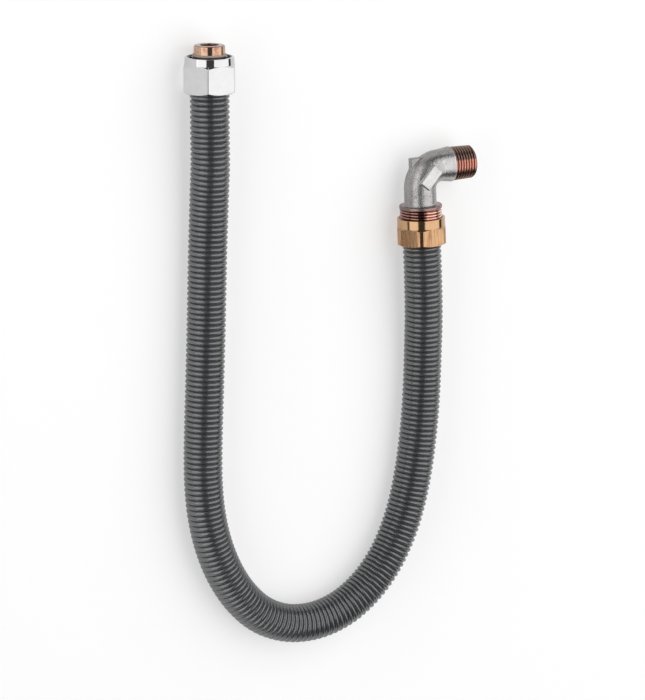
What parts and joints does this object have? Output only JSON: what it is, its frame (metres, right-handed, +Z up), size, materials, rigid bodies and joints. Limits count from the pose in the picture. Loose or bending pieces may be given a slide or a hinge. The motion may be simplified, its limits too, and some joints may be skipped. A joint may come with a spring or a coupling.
{
  "type": "bathtub supply hose",
  "caption": "Flexible water supply hose in a corrugated sleeve, with a swivel union nut and plug-in spigot at one end and a screwed elbow with a male pipe thread at the other.",
  "frame": {"origin": "on the floor, under the middle of the box round the two fittings", "axes": "+Z up from the floor, both fittings open towards +Y, +X from the union nut to the elbow"},
  "size_m": [0.1993, 0.3804, 0.0305],
  "materials": {
    "chrome_nut": "polished",
    "bright_brass": "brushed",
    "polished_bronze": "polished",
    "cast_metal": "blasted",
    "stainless": "satin",
    "dark_plastic": "satin",
    "pale_plastic": "matte",
    "black_rubber": "matte"
  },
  "bodies": {
    "hose": {"union_tail": "polished_bronze", "union_seal": "pale_plastic", "union_ferrule": "stainless", "elbow": "cast_metal", "elbow_nut": "bright_brass", "elbow_tail": "bright_brass", "elbow_gasket": "black_rubber", "elbow_ferrule": "stainless", "inner_hose": "black_rubber", "corrugated_sleeve": "dark_plastic"},
    "slip_ring": {"slip_ring": "pale_plastic"},
    "union_nut": {"union_nut": "chrome_nut"}
  },
  "joints": [
    {"name": "nut_slide", "type": "slide", "parent": "hose", "child": "slip_ring", "axis": [0, 1, 0], "range_m": [0, 0.012]},
    {"name": "nut_turn", "type": "hinge", "parent": "slip_ring", "child": "union_nut", "pos_m": [-0.082, 0.0498, 0.01525], "axis": [0, 1, 0], "continuous": true}
  ]
}
